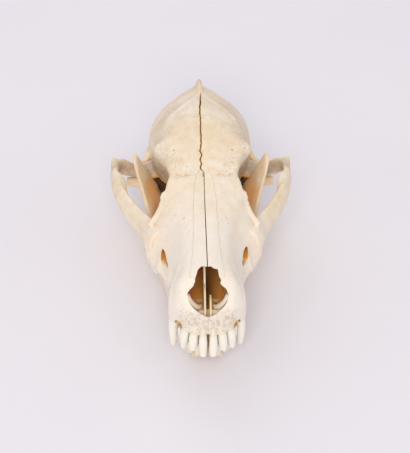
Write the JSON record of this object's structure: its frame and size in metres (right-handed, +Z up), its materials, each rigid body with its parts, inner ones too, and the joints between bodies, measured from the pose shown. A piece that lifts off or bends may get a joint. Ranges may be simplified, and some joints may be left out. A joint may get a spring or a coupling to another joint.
{
  "type": "dog skull model",
  "caption": "Life-size dog skull with its lower jaw closed and its teeth in place, in separate bones, resting on the lower edges of the jaw",
  "frame": {"origin": "centre of the bounding box at the level of the flats under the lower jaw", "axes": "+X to the animal's left, +Y towards the back of the head, +Z up; the nose points to -Y"},
  "size_m": [0.1054, 0.179, 0.0866],
  "materials": {
    "bone": "matte"
  },
  "bodies": {
    "root": {"braincase": "bone", "nasal_left": "bone", "nasal_right": "bone", "zygomatic_left": "bone", "zygomatic_right": "bone", "premaxilla_left": "bone", "premaxilla_right": "bone", "maxilla_left": "bone", "maxilla_right": "bone", "mandible_left": "bone", "mandible_right": "bone"}
  },
  "joints": []
}
